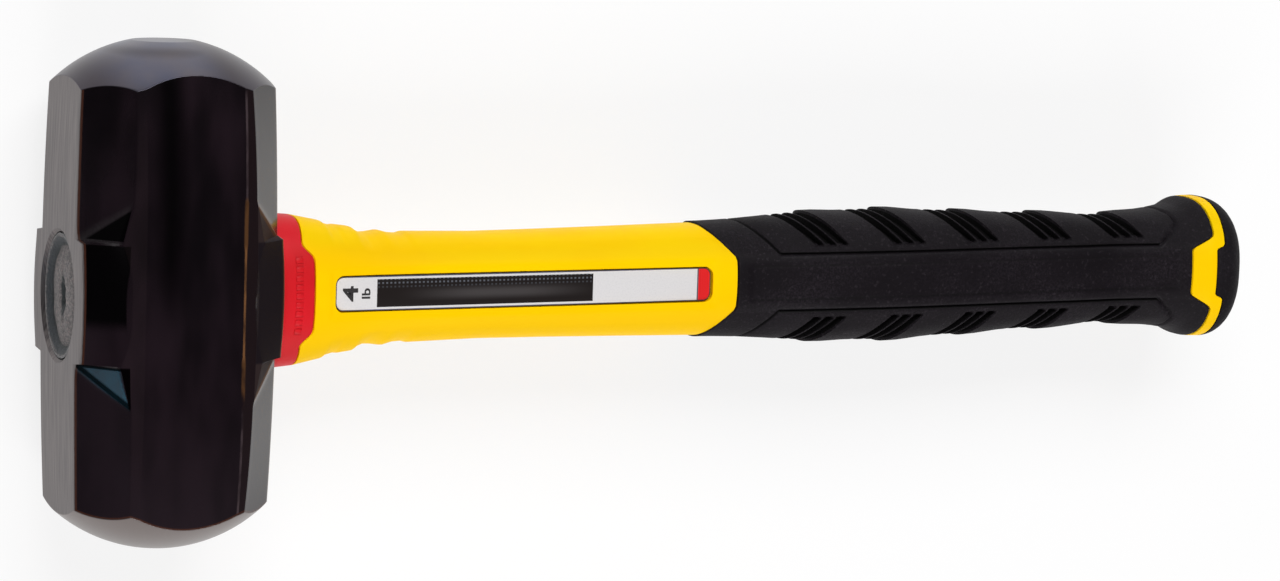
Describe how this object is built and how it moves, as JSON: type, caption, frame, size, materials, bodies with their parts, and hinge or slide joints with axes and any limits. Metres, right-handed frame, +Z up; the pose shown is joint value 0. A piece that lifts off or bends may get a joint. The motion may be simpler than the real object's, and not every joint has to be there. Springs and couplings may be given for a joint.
{
  "type": "sledgehammer",
  "caption": "Short-handled sledgehammer with a double-faced octagonal steel head, moulded handle jacket, collar, grooved rubber grip and flared butt.",
  "frame": {"origin": "middle of the flat cheek that the hammer lies on, under the middle of the eye", "axes": "+X along the handle from the head to the butt, +Y along the striking axis, +Z up through the cheeks"},
  "size_m": [0.3375, 0.124, 0.051],
  "materials": {
    "forged_steel": "ground eye faces and domed ends, glossy black enamel on the cheeks and chamfers",
    "resin": "cast and dished, dull grey",
    "fibreglass": "pultruded rod, hidden",
    "red_rubber": "smooth satin",
    "yellow_plastic": "smooth satin",
    "label_film": "printed film, white with a black band and a red end",
    "black_rubber": "fine matt texture"
  },
  "bodies": {
    "root": {"head": "forged_steel", "eye_resin": "resin", "handle_core": "fibreglass", "collar": "red_rubber", "jacket": "yellow_plastic", "label_front": "label_film", "label_back": "label_film", "grip": "black_rubber", "butt_cap": "black_rubber"}
  },
  "joints": []
}
